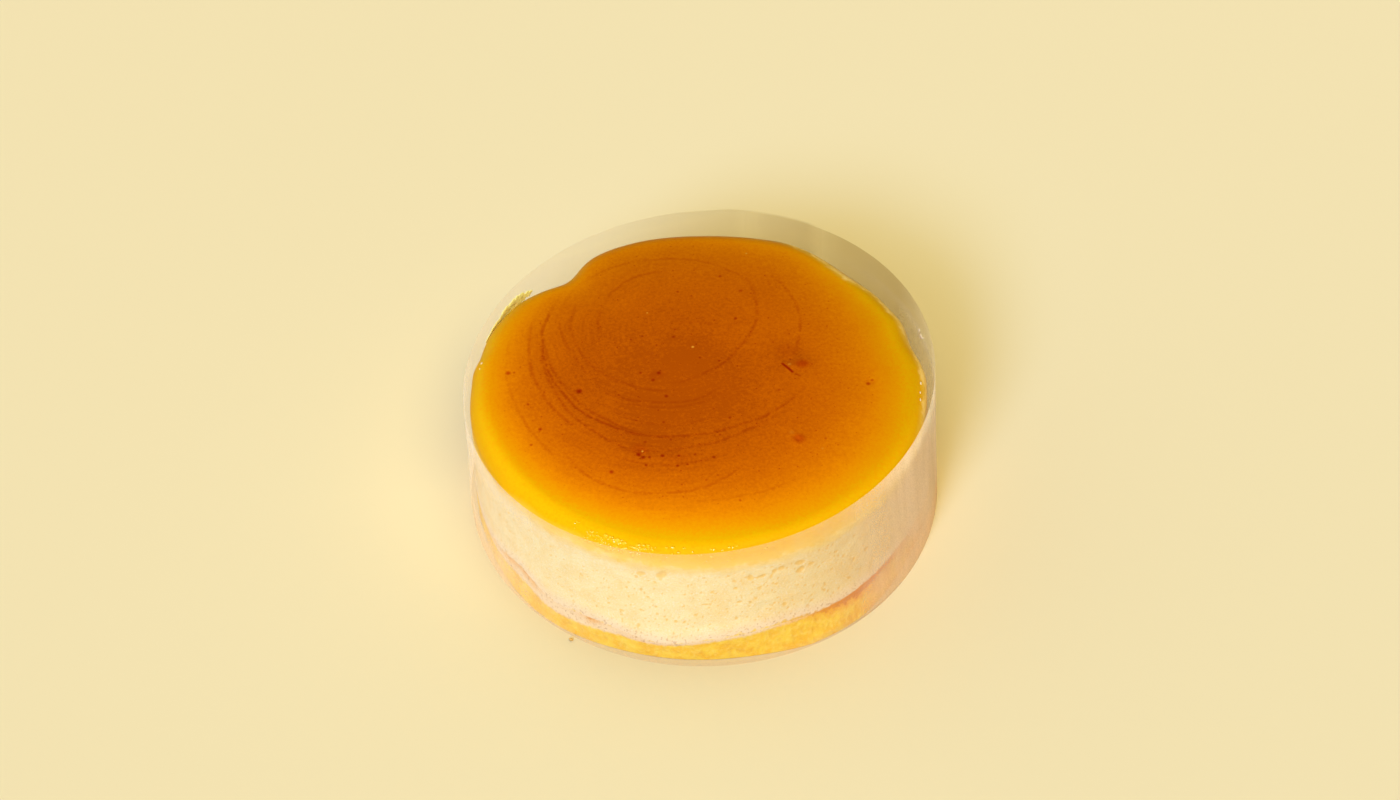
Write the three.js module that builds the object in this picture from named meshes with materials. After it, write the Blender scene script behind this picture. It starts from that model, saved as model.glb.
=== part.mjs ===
// A whole souffle cheesecake, 15 cm across, inside the clear film collar that it was baked in.
// Millimetres, +Z up. The origin is on the table under the middle of the collar, and the
// side that faces the viewer is towards -Y. Angles are in degrees, anticlockwise from +X.

import * as THREE from 'three';

// ---- Driving dimensions ----

// The collar: a strip of film, bent round the cake until its ends overlap.
const FILM_HEIGHT = 50;
const FILM_THICKNESS = 0.3;
const RIM_RADIUS = 73.5;
const RIM_OVAL = { share: 0.025, longAxis: 45 };
const FOOT_RADIUS = 75.2;
const FOOT_OVAL = { share: 0.012, longAxis: 111 };
const FILM_END = 57;
const FILM_OVERLAP = 20;
const OVERLAP_LIFT = 0.65;
const LANDING_START = 1.5;
const LANDING_END = 11;

// The sponge under the cake: a thin browned disc whose top is wavy at its edge.
const SPONGE_RADIUS = 72.8;
const SPONGE_HEIGHT = 10.2;
const SPONGE_FOOT_BEVEL = 0.7;
const SPONGE_TOP_BEVEL = 0.8;
const SPONGE_LOBES = [
  { by: 0.35, count: 3, phase: 0 },
  { by: 0.2, count: 7, phase: 40 },
];
const SPONGE_SPREADS = [
  { at: -60, by: 2.4, width: 16 },
  { at: -130, by: 1.7, width: 18 },
  { at: 60, by: 1.5, width: 25 },
  { at: 150, by: 1.2, width: 20 },
];
const SPONGE_WAVES = [
  { at: -143, by: 3.6, width: 8 },
  { at: -132, by: -1.8, width: 7 },
  { at: -102, by: -3.2, width: 10 },
  { at: -73, by: 1.2, width: 9 },
  { at: -34, by: 2.4, width: 16 },
  { at: 20, by: -1.5, width: 18 },
  { at: 75, by: 1.6, width: 15 },
  { at: 118, by: -1.9, width: 12 },
  { at: 165, by: 1.4, width: 14 },
];

// The baked cheese batter, with its browned top.
const CAKE_RADIUS = 71;
const CAKE_LEAN = 0.9;
const CRUST_EDGE_HEIGHT = 40;
const SHOULDER_RADIUS = 7;
const DOME_RISE = 1.8;
const BATTER_FOOT_RADIUS = 72.2;
const EDGE_WAVES = [
  { at: 13, by: -1.6, width: 8 },
  { at: 43, by: -1.5, width: 12 },
  { at: 61, by: 0.5, width: 8 },
  { at: 86, by: -0.9, width: 12 },
  { at: 130, by: -5, width: 8 },
  { at: 158, by: 1.8, width: 18 },
  { at: -140, by: 0.3, width: 15 },
  { at: -60, by: -0.4, width: 20 },
  { at: -174, by: 0.9, width: 13 },
];
const DOME_LOBES = [{ by: 0.25, count: 2, phase: 30 }];

// Gaps between pieces that touch.
const GAP = 0.3;
const STEPS_ROUND = 96;
const FILM_STEPS = 112;
const FILM_ROWS = 3;

// ---- Helpers ----

const radians = THREE.MathUtils.degToRad;

// The turn from one angle to another, between -180 and 180 degrees.
function turnBetween(from, to) {
  return THREE.MathUtils.euclideanModulo(to - from + 180, 360) - 180;
}

// The sum of some smooth rises and dips at one angle.
function wavesAt(waves, angle) {
  let total = 0;
  for (const wave of waves) {
    const away = turnBetween(wave.at, angle) / wave.width;
    total += wave.by * Math.exp(-away * away);
  }
  return total;
}

// The sum of some even waves, each with a count of crests round the cake.
function lobesAt(lobes, angle) {
  let total = 0;
  for (const lobe of lobes) {
    total += lobe.by * Math.sin(radians(lobe.count * angle + lobe.phase));
  }
  return total;
}

function ovalRadius(radius, oval, angle) {
  return radius * (1 + oval.share * Math.cos(2 * radians(angle - oval.longAxis)));
}

// The radius of the film's middle surface, which leans in from foot to rim.
function filmRadius(angle, height) {
  const foot = ovalRadius(FOOT_RADIUS, FOOT_OVAL, angle);
  const rim = ovalRadius(RIM_RADIUS, RIM_OVAL, angle);
  return THREE.MathUtils.lerp(foot, rim, height / FILM_HEIGHT);
}

// The widest that the food may be without touching the film.
function roomInFilm(angle, height) {
  return filmRadius(angle, height) - FILM_THICKNESS / 2 - GAP;
}

// Turns a profile round the Z axis, then moves each point to where shape(angle, radius, height)
// says. The last column of a lathe lies on its first, so both get the same angle.
function turnedSolid(profile, shape) {
  const geometry = new THREE.LatheGeometry(profile, STEPS_ROUND);
  const position = geometry.attributes.position;
  for (let i = 0; i < position.count; i += 1) {
    const column = Math.floor(i / profile.length) % STEPS_ROUND;
    const point = profile[i % profile.length];
    const angle = (column * 360) / STEPS_ROUND;
    const { radius, height } = shape(angle, point.x, point.y);
    const x = radius * Math.cos(radians(angle));
    const y = radius * Math.sin(radians(angle));
    position.setXYZ(i, x, y, height);
  }
  geometry.computeVertexNormals();
  return geometry;
}

function meshOf(name, geometry, look) {
  const mesh = new THREE.Mesh(geometry, new THREE.MeshStandardMaterial(look));
  mesh.name = name;
  return mesh;
}

// ---- Sponge base ----

// How far the edge of the sponge's top lies above or below its mean height. The middle is level.
function spongeTopOffset(angle, radius) {
  const share = radius / SPONGE_RADIUS;
  return wavesAt(SPONGE_WAVES, angle) * share ** 3;
}

function spongeProfile() {
  const points = [];
  for (const share of [0, 0.5, 1]) {
    points.push(new THREE.Vector2(share * (SPONGE_RADIUS - SPONGE_FOOT_BEVEL), 0));
  }
  for (const share of [0, 0.5, 1]) {
    const height = THREE.MathUtils.lerp(SPONGE_FOOT_BEVEL, SPONGE_HEIGHT - SPONGE_TOP_BEVEL, share);
    points.push(new THREE.Vector2(SPONGE_RADIUS, height));
  }
  for (const share of [1, 0.85, 0.7, 0.45, 0]) {
    points.push(new THREE.Vector2(share * (SPONGE_RADIUS - SPONGE_TOP_BEVEL), SPONGE_HEIGHT));
  }
  return points;
}

// The sponge's own radius: uneven, and spread here and there at its foot.
function spongeSideRadius(angle, height) {
  const spread = wavesAt(SPONGE_SPREADS, angle) * (1 - height / SPONGE_HEIGHT);
  const radius = SPONGE_RADIUS + lobesAt(SPONGE_LOBES, angle) + spread;
  return Math.min(radius, roomInFilm(angle, height));
}

function spongeShape(angle, radius, height) {
  const widest = spongeSideRadius(angle, height);
  const raised = (spongeTopOffset(angle, radius) * height) / SPONGE_HEIGHT;
  return { radius: (radius * widest) / SPONGE_RADIUS, height: height + raised };
}

function makeSponge() {
  const look = { color: 0xf3c766, roughness: 0.9, metalness: 0 };
  return meshOf('sponge_base', turnedSolid(spongeProfile(), spongeShape), look);
}

// ---- Cheesecake body ----

const BATTER_FOOT_HEIGHT = SPONGE_HEIGHT + GAP;
const SHOULDER_TOP_HEIGHT = CRUST_EDGE_HEIGHT + SHOULDER_RADIUS;

function cakeProfile() {
  const points = [];
  for (const share of [0, 0.45, 0.7, 0.85, 1]) {
    points.push(new THREE.Vector2(share * CAKE_RADIUS, BATTER_FOOT_HEIGHT));
  }
  const sideRows = 4;
  for (let row = 1; row < sideRows; row += 1) {
    const height = THREE.MathUtils.lerp(BATTER_FOOT_HEIGHT, CRUST_EDGE_HEIGHT, row / sideRows);
    points.push(new THREE.Vector2(CAKE_RADIUS, height));
  }
  const shoulderRows = 5;
  for (let row = 0; row < shoulderRows; row += 1) {
    const slope = radians((90 * row) / shoulderRows);
    const radius = CAKE_RADIUS - SHOULDER_RADIUS * (1 - Math.cos(slope));
    points.push(new THREE.Vector2(radius, CRUST_EDGE_HEIGHT + SHOULDER_RADIUS * Math.sin(slope)));
  }
  const domeRadius = CAKE_RADIUS - SHOULDER_RADIUS;
  const domeRows = 7;
  for (let row = 0; row <= domeRows; row += 1) {
    const share = 1 - row / domeRows;
    const height = SHOULDER_TOP_HEIGHT + DOME_RISE * (1 - share ** 2);
    points.push(new THREE.Vector2(share * domeRadius, height));
  }
  return points;
}

// The side's radius: round and full at the foot, drawn in and uneven at the crust's edge.
function cakeSideRadius(angle, height) {
  const rise = THREE.MathUtils.smoothstep(height, BATTER_FOOT_HEIGHT, CRUST_EDGE_HEIGHT);
  const lean = CAKE_LEAN * Math.sin(radians(angle));
  const edge = CAKE_RADIUS - lean + wavesAt(EDGE_WAVES, angle);
  const radius = THREE.MathUtils.lerp(BATTER_FOOT_RADIUS, edge, rise);
  return Math.min(radius, roomInFilm(angle, height));
}

function cakeShape(angle, radius, height) {
  const share = radius / CAKE_RADIUS;
  const rise = THREE.MathUtils.smoothstep(height, BATTER_FOOT_HEIGHT, CRUST_EDGE_HEIGHT);
  const overSponge = spongeTopOffset(angle, share * SPONGE_RADIUS) * (1 - rise);
  const lump = lobesAt(DOME_LOBES, angle) * share ** 2 * rise;
  return { radius: share * cakeSideRadius(angle, height), height: height + overSponge + lump };
}

function makeCake() {
  const look = { color: 0xcd7a12, roughness: 0.35, metalness: 0 };
  return meshOf('cheesecake_body', turnedSolid(cakeProfile(), cakeShape), look);
}

// ---- Film collar ----

// How far the strip stands out from the collar's own radius, at a turn from its outer end.
function stripLift(turn) {
  const landed = THREE.MathUtils.smoothstep(
    turn, FILM_OVERLAP + LANDING_START, FILM_OVERLAP + LANDING_END);
  return OVERLAP_LIFT * (1 - landed);
}

// A flat strip, one unit long and high, is bent into the collar. Its outer end comes first, and
// it ends under that start.
function makeFilm() {
  const geometry = new THREE.BoxGeometry(1, 1, 1, FILM_STEPS, FILM_ROWS, 1);
  const position = geometry.attributes.position;
  for (let i = 0; i < position.count; i += 1) {
    const turn = (position.getX(i) + 0.5) * (360 + FILM_OVERLAP);
    const height = (position.getY(i) + 0.5) * FILM_HEIGHT;
    const angle = FILM_END + turn;
    const outward = position.getZ(i) * FILM_THICKNESS;
    const radius = filmRadius(angle, height) + stripLift(turn) + outward;
    const x = radius * Math.cos(radians(angle));
    const y = radius * Math.sin(radians(angle));
    position.setXYZ(i, x, y, height);
  }
  geometry.computeVertexNormals();
  const look = { color: 0xf2ead8, roughness: 0.12, metalness: 0, transparent: true, opacity: 0.25 };
  return meshOf('film_collar', geometry, look);
}

// ---- The whole ----

const cheesecake = new THREE.Group();
cheesecake.add(makeSponge(), makeCake(), makeFilm());

export default cheesecake;
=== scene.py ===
"""A whole souffle cheesecake inside its clear film collar, on a plain pale floor.

The shapes repeat the solids' own formulas, in millimetres, and add what is finer than they
are: pores, the browned edges, beads of glaze, batter stuck to the film, and a fallen crumb.
Angles are in degrees, anticlockwise from +X seen from above. The photo's viewer looks along +Y.
"""

import math

import bmesh
import bpy
import numpy as np
from mathutils import Matrix, Vector


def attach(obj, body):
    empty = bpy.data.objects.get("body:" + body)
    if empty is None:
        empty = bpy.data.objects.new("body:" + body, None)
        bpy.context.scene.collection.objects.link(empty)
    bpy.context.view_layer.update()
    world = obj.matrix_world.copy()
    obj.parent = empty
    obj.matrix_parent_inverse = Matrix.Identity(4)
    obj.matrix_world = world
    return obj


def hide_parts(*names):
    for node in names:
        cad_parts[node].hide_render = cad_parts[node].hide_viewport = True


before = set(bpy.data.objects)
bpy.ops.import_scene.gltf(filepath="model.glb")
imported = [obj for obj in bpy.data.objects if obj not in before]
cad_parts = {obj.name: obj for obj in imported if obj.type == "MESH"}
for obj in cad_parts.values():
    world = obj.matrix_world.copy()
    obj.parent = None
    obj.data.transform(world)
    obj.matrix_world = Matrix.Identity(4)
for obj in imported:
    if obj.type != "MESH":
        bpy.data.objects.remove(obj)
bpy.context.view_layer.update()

# ---- Sizes, in millimetres, as the solids have them ----

FILM_HEIGHT = 50
RIM_RADIUS = 73.5
RIM_OVAL = (0.025, 45)  # share, and the angle of the long axis
FOOT_RADIUS = 75.2
FOOT_OVAL = (0.012, 111)
FILM_END = 57
FILM_OVERLAP = 20
OVERLAP_LIFT = 0.65
LANDING = (1.5, 11)
CAD_FILM_THICKNESS = 0.3
GAP = 0.3

SPONGE_RADIUS = 72.8
SPONGE_HEIGHT = 10.2
SPONGE_LOBES = [(0.35, 3, 0), (0.2, 7, 40)]  # amount, crests round the cake, phase
SPONGE_SPREADS = [  # angle, amount, width
    (-60, 2.4, 16), (-130, 1.7, 18), (60, 1.5, 25), (150, 1.2, 20),
]
SPONGE_WAVES = [
    (-143, 3.6, 8), (-132, -1.8, 7), (-102, -3.2, 10),
    (-73, 1.2, 9), (-34, 2.4, 16), (20, -1.5, 18),
    (75, 1.6, 15), (118, -1.9, 12), (165, 1.4, 14),
]

CAKE_RADIUS = 71
CAKE_LEAN = 0.9
CRUST_EDGE_HEIGHT = 40
SHOULDER_RADIUS = 7
DOME_RISE = 1.8
BATTER_FOOT_RADIUS = 72.2
BATTER_FOOT_HEIGHT = SPONGE_HEIGHT + GAP
DOME_RADIUS = CAKE_RADIUS - SHOULDER_RADIUS
SHOULDER_ARC = SHOULDER_RADIUS * math.pi / 2
EDGE_WAVES = [
    (13, -1.6, 8), (43, -1.5, 12), (61, 0.5, 8), (86, -0.9, 12),
    (130, -5, 8), (158, 1.8, 18), (-140, 0.3, 15), (-60, -0.4, 20),
    (-174, 0.9, 13),
]
DOME_LOBES = [(0.25, 2, 30)]
EDGE_DETAIL = [  # finer than the solid's waves, and at the crust's edge only
    (164.5, -0.7, 4.5), (169.5, 0.4, 3), (147, -0.4, 4), (140, -0.5, 4),
    (28, -0.4, 5), (21, 0.35, 3), (5, 0.5, 6), (-8, -0.3, 5),
]

# ---- What the scene adds ----

SINK = 0.48  # how far the batter's foot comes down onto the sponge
TUCK = 0.9  # how far its underside is drawn in there, and set deeper by half as much
FOOT_EDGE_ROWS = (0.02, 0.14)  # heights above the foot, which keep its edge crisp
FLUSH_REACH = 6  # how far up the batter's side is drawn out flush with the sponge
FOOT_ROUND = 0.3  # the rounding of the sponge's foot
FOOT_MORE = [(-55, 1, 22)]  # more of a spread there: angle, amount, width
SOFT_EDGE = 0.15  # the rounding of the sponge's top edge, which the batter sinks onto

SEED = 11
MM = 0.001
FINEST_COLUMNS = 896  # 7 * 2**7, so that a ring can lose half its points seven times
FEWEST_COLUMNS = 7
FULL_SHARE = 0.72  # of a top's radius, outside which a ring keeps all its points
SURPLUS = 1.4  # how many times too many points a ring may have before it loses half
CAKE_SIDE_ROWS = 58
SHOULDER_ROWS = 20
SPONGE_SIDE_ROWS = 14
ROUNDING_ROWS = 4
CAKE_TOP_SPACING = 0.8
SPONGE_TOP_SPACING = 3
FILM_COLUMNS = 1260
FILM_ROWS = [0, 0.4, 0.8] + [FILM_HEIGHT * row / 14 for row in range(1, 15)]  # heights

rng = np.random.default_rng(SEED)


# ---- Shape formulas ----

def cos_deg(angle):
    return np.cos(np.radians(angle))


def sin_deg(angle):
    return np.sin(np.radians(angle))


def smoothstep(value, low, high):
    share = np.clip((value - low) / (high - low), 0, 1)
    return share * share * (3 - 2 * share)


def turn_between(start, end):
    return (end - start + 180) % 360 - 180


def waves_at(waves, angle):
    return sum(by * np.exp(-(turn_between(at, angle) / width) ** 2) for at, by, width in waves)


def lobes_at(lobes, angle):
    return sum(by * sin_deg(count * angle + phase) for by, count, phase in lobes)


def film_radius(angle, height):
    foot = FOOT_RADIUS * (1 + FOOT_OVAL[0] * cos_deg(2 * (angle - FOOT_OVAL[1])))
    rim = RIM_RADIUS * (1 + RIM_OVAL[0] * cos_deg(2 * (angle - RIM_OVAL[1])))
    return foot + (rim - foot) * height / FILM_HEIGHT


def room_in_film(angle, height):
    return film_radius(angle, height) - CAD_FILM_THICKNESS / 2 - GAP


def sponge_top_offset(angle, share):
    return waves_at(SPONGE_WAVES, angle) * share ** 3


def sponge_side_radius(angle, height):
    spread = waves_at(SPONGE_SPREADS + FOOT_MORE, angle) * (1 - height / SPONGE_HEIGHT)
    radius = SPONGE_RADIUS + lobes_at(SPONGE_LOBES, angle) + spread
    return np.minimum(radius, room_in_film(angle, height))


def sponge_shape(angle, radius, height):
    widest = sponge_side_radius(angle, height)
    raised = sponge_top_offset(angle, radius / SPONGE_RADIUS) * height / SPONGE_HEIGHT
    return radius * widest / SPONGE_RADIUS, height + raised


def cake_side_radius(angle, height):
    rise = smoothstep(height, BATTER_FOOT_HEIGHT, CRUST_EDGE_HEIGHT)
    edge = CAKE_RADIUS - CAKE_LEAN * sin_deg(angle) + waves_at(EDGE_WAVES, angle)
    radius = BATTER_FOOT_RADIUS + (edge - BATTER_FOOT_RADIUS) * rise
    return np.minimum(radius, room_in_film(angle, height))


def cake_shape(angle, radius, height):
    share = radius / CAKE_RADIUS
    rise = smoothstep(height, BATTER_FOOT_HEIGHT, CRUST_EDGE_HEIGHT)
    over_sponge = sponge_top_offset(angle, share) * (1 - rise)
    lump = lobes_at(DOME_LOBES, angle) * share ** 2 * rise
    return share * cake_side_radius(angle, height), height + over_sponge + lump


# ---- Turned meshes whose rings may have different numbers of points ----

class Rings:
    """Points in rings round the Z axis, from the middle of the underside to that of the top."""

    def __init__(self):
        self.counts = []
        self.profile = []  # radius, height, and the outward direction in that plane

    def add(self, radius, height, out=0, up=1, count=FINEST_COLUMNS):
        self.counts.append(count)
        self.profile.append((radius, height, out, up))

    def columns(self):
        """Each point's angle, and its ring's radius, height and outward direction."""
        angles = [np.arange(count) * 360 / count for count in self.counts]
        rows = np.repeat(np.array(self.profile), self.counts, axis=0)
        return np.concatenate(angles), *rows.T

    def faces(self):
        found = []
        start = 0
        for below, above in zip(self.counts, self.counts[1:]):
            found += ring_faces(start, below, start + below, above)
            start += below
        return found


def ring_faces(low, low_count, high, high_count):
    """Faces between a ring and the next, where one may be a single point or have half as many."""
    if low_count < high_count:
        return [face[::-1] for face in ring_faces(high, high_count, low, low_count)]
    if high_count == 1:
        return [(low + i, low + (i + 1) % low_count, high) for i in range(low_count)]
    faces = []
    for i in range(high_count):
        j = (i + 1) % high_count
        if low_count == high_count:
            faces.append((low + i, low + j, high + j, high + i))
        else:
            first, middle, last = low + 2 * i, low + 2 * i + 1, low + 2 * j
            faces += [(first, middle, high + i), (middle, high + j, high + i),
                      (middle, last, high + j)]
    return faces


def add_underside(rings, radius, height):
    """A hidden flat underside: few rings, each with twice the points of the last."""
    steps = int(math.log2(FINEST_COLUMNS / FEWEST_COLUMNS))
    rings.add(0, height, 0, -1, 1)
    for step in range(steps):
        share = (step + 1) / (steps + 1)
        rings.add(radius * share, height, 0, -1, FEWEST_COLUMNS * 2 ** step)


def add_top(rings, radius, height_at, spacing):
    """A top from its rim to its middle. A ring loses half its points as it gets half as wide."""
    full = radius * FULL_SHARE
    at = radius
    while at > spacing:
        wanted = FINEST_COLUMNS * min(at / full, 1)
        while rings.counts[-1] > max(FEWEST_COLUMNS, wanted * SURPLUS):
            rings.add(at, height_at(at), count=rings.counts[-1] // 2)
            at -= spacing
        rings.add(at, height_at(at), count=rings.counts[-1])
        at -= spacing
    rings.add(0, height_at(0), count=1)


def placed(angle, radius, height):
    return np.stack([radius * cos_deg(angle), radius * sin_deg(angle), height], axis=1)


def add_object(name, data):
    made = bpy.data.objects.new(name, data)
    bpy.context.scene.collection.objects.link(made)
    return made


def mesh_object(name, points, faces, material, facts=None):
    """A smooth-shaded object from points in millimetres, with named numbers on its points."""
    mesh = bpy.data.meshes.new(name)
    mesh.from_pydata((points * MM).tolist(), [], faces)
    mesh.polygons.foreach_set("use_smooth", [True] * len(mesh.polygons))
    for fact, values in (facts or {}).items():
        attribute = mesh.attributes.new(fact, "FLOAT", "POINT")
        attribute.data.foreach_set("value", values.astype(np.float32))
    mesh.materials.append(material)
    mesh.update()
    return add_object(name, mesh)


# ---- Pores and unevenness ----

PORE_STRETCH = (1, 1.7)
PORE_FLOOR = 0.7  # under 1, so that a pore's sides are steeper than a bowl's
PORE_DEPTH = 0.9  # by its radius
DEEPEST_PORE = 1.3


def scattered_pores(count, heights, sizes, angles=(-180, 180)):
    """Angle, height, radius, stretch and lean of some pores in a side."""
    small, large = sizes
    size = small * (large / small) ** rng.random(count) ** 1.5
    return np.stack([
        rng.uniform(*angles, count),
        rng.uniform(*heights, count),
        size,
        rng.uniform(*PORE_STRETCH, count),
        rng.uniform(0, math.pi, count),
    ], axis=1)


def pore_depths(pores, angle, height, side_radius):
    """How deep each point of a side lies in its deepest pore, and what share of it that is."""
    depth = np.zeros_like(angle)
    share = np.zeros_like(angle)
    order = np.argsort(height)
    sorted_height = height[order]
    for at, level, size, stretch, lean in pores:
        reach = size * stretch
        lowest, highest = np.searchsorted(sorted_height, (level - reach, level + reach))
        near = order[lowest:highest]
        across = np.radians(turn_between(at, angle[near])) * side_radius
        near, across = near[np.abs(across) < reach], across[np.abs(across) < reach]
        up = height[near] - level
        along = (across * math.cos(lean) + up * math.sin(lean)) / reach
        aside = (up * math.cos(lean) - across * math.sin(lean)) / size
        inside = np.clip(1 - along ** 2 - aside ** 2, 0, 1) ** PORE_FLOOR
        depth[near] = np.maximum(depth[near], inside * min(size * PORE_DEPTH, DEEPEST_PORE))
        share[near] = np.maximum(share[near], inside)
    return depth, share


def lumps(angle, height, seed, waves, size):
    """A smooth uneven field over a side or a top: a sum of waves that run in all directions."""
    draw = np.random.default_rng(seed)
    field = np.zeros_like(angle)
    x, y = CAKE_RADIUS * cos_deg(angle), CAKE_RADIUS * sin_deg(angle)
    for _ in range(waves):
        direction = draw.normal(size=3)
        direction /= np.linalg.norm(direction) * size * draw.uniform(0.6, 1.5)
        phase = draw.uniform(0, 2 * math.pi)
        along = x * direction[0] + y * direction[1] + height * direction[2]
        field += np.sin(2 * math.pi * along + phase)
    return field / math.sqrt(waves)


def mounds(marks, x, y):
    """The sum of some soft round rises and dips: the x, y, radius and amount of each."""
    return sum(by * np.exp(-((x - at_x) ** 2 + (y - at_y) ** 2) / size ** 2)
               for at_x, at_y, size, by in marks)


# ---- Materials ----

def srgb(red, green, blue):
    """A colour given in 0 to 255, as the linear numbers that a shader takes."""
    shares = [value / 255 for value in (red, green, blue)]
    linear = [s / 12.92 if s <= 0.04045 else ((s + 0.055) / 1.055) ** 2.4 for s in shares]
    return (*linear, 1)


class Shader:
    """A material's nodes, built by short calls."""

    def __init__(self, name):
        self.material = bpy.data.materials.new(name)
        self.material.use_nodes = True
        self.tree = self.material.node_tree
        self.tree.nodes.clear()
        self.output = self.node("OutputMaterial")
        metres = self.node("TexCoord").outputs["Object"]
        self.place = self.vector_math("MULTIPLY", metres, (1 / MM, 1 / MM, 1 / MM))

    @classmethod
    def over(cls, tree):
        """The same short calls for a tree that isn't a material's."""
        shader = cls.__new__(cls)
        shader.tree = tree
        return shader

    def node(self, kind, **settings):
        made = self.tree.nodes.new("ShaderNode" + kind)
        for key, value in settings.items():
            setattr(made, key, value)
        return made

    def put(self, value, socket):
        if isinstance(value, bpy.types.NodeSocket):
            self.tree.links.new(value, socket)
        else:
            socket.default_value = value

    def fill(self, made, values):
        for value, socket in zip(values, made.inputs):
            self.put(value, socket)
        return made

    def math(self, operation, *values):
        return self.fill(self.node("Math", operation=operation), values).outputs[0]

    def plus(self, first, second):
        return self.math("ADD", first, second)

    def minus(self, first, second):
        return self.math("SUBTRACT", first, second)

    def times(self, first, second):
        return self.math("MULTIPLY", first, second)

    def swing(self, value, amount):
        """A value from 0 to 1 as one from minus half the amount to plus half of it."""
        return self.times(self.minus(value, 0.5), amount)

    def vector_math(self, operation, *values):
        """A vector, or for a length, a distance or a dot product a number."""
        made = self.fill(self.node("VectorMath", operation=operation), values)
        is_number = operation in ("LENGTH", "DISTANCE", "DOT_PRODUCT")
        return made.outputs["Value" if is_number else "Vector"]

    def fact(self, name):
        return self.node("Attribute", attribute_name=name).outputs["Fac"]

    def axes(self, vector):
        return self.fill(self.node("SeparateXYZ"), [vector]).outputs

    def vector(self, x, y, z):
        return self.fill(self.node("CombineXYZ"), (x, y, z)).outputs[0]

    def named(self, made, **inputs):
        """Fills a node's inputs by their names, in which _ stands for a space."""
        for name, value in inputs.items():
            self.put(value, made.inputs[name.replace("_", " ")])
        return made

    def noise(self, size, detail=3, roughness=0.5, at=None, output="Fac"):
        """Noise from 0 to 1 whose blobs are about size millimetres across."""
        made = self.named(self.node("TexNoise"), Vector=at or self.place, Scale=1 / size,
                          Detail=detail, Roughness=roughness)
        return made.outputs[output]

    def flat_cells(self, flat, size):
        """The distance to each cell's point, in cells, and the cell's own random colour."""
        made = self.node("TexVoronoi", voronoi_dimensions="2D")
        self.named(made, Vector=flat, Scale=1 / size)
        return made.outputs["Distance"], made.outputs["Color"]

    def span(self, value, low, high, start=0, end=1):
        """value from low to high, turned smoothly into start to end."""
        made = self.node("MapRange", interpolation_type="SMOOTHSTEP")
        return self.fill(made, (value, low, high, start, end)).outputs["Result"]

    def mix(self, share, first, second, blend="MIX"):
        made = self.node("Mix", data_type="RGBA", blend_type=blend)
        self.put(share, made.inputs[0])
        self.put(first, made.inputs[6])
        self.put(second, made.inputs[7])
        return made.outputs[2]

    def ramp(self, value, stops):
        made = self.node("ValToRGB")
        points = made.color_ramp.elements
        for place, colour in stops[1:-1]:
            points.new(place).color = colour
        points[0].position, points[0].color = stops[0]
        points[len(points) - 1].position, points[len(points) - 1].color = stops[-1]
        self.put(value, made.inputs[0])
        return made.outputs[0]

    def bump(self, height, depth, **below):
        """Relief of depth millimetres for a height from 0 to 1."""
        made = self.named(self.node("Bump"), Distance=depth * MM, Height=height, **below)
        return made.outputs[0]

    def surface(self, kind, **inputs):
        return self.named(self.node("Bsdf" + kind), **inputs).outputs[0]

    def mix_shaders(self, share, first, second):
        return self.fill(self.node("MixShader"), (share, first, second)).outputs[0]

    def finish(self, shader):
        self.put(shader, self.output.inputs["Surface"])
        return self.material


BLACK = (0, 0, 0, 1)
HAZE_COLOUR = srgb(255, 240, 222)
FOOT_HAZE = srgb(255, 228, 196)
# painted shade in the film: the colour its darkened parts let through
FILM_SHADE_TINT = srgb(214, 205, 180)
CREAM = srgb(250, 229, 166)
CREAM_WARM = srgb(249, 220, 149)
FOAM_PALE = srgb(255, 246, 222)
# painted shade: the batter's side is mixed towards this colour at its right
CREAM_PAINTED_SHADE = srgb(206, 140, 70)
# partly painted shade, where the batter meets the sponge
CREAM_SHADE = srgb(243, 214, 172)
CRUMB_BROWN = srgb(190, 136, 92)
PORE_YELLOW = srgb(245, 195, 88)
SPONGE_YELLOW = srgb(246, 203, 50)
SPONGE_SKIN = srgb(216, 126, 10)
CRUST_STOPS = [  # the crust's colour by its tone, from barely baked to brown
    (0, srgb(240, 181, 2)),
    (0.13, srgb(242, 169, 1)),
    (0.22, srgb(244, 160, 1)),
    (0.41, srgb(241, 144, 1)),
    (0.5, srgb(236, 134, 1)),
    (0.62, srgb(225, 121, 1)),
    (0.75, srgb(212, 106, 1)),
    (0.85, srgb(200, 95, 1)),
    (0.92, srgb(190, 87, 1)),
    (1, srgb(177, 77, 1)),
]
EDGE_YELLOW = srgb(250, 204, 74)
LINE_TINT = (0.7, 0.4, 0.4, 1)  # what a mark leaves of the crust's colour
SPOT_TINT = (0.62, 0.17, 0.2, 1)
SMUDGE_TINT = (0.78, 0.4, 0.4, 1)
# the colour of the painted glints
GLINT = srgb(240, 164, 46)
GLAZE = srgb(252, 196, 20)
SMEAR_YELLOW = srgb(255, 246, 140)
BIT_PALE = srgb(244, 222, 168)
CRUMB = srgb(206, 162, 84)

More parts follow.
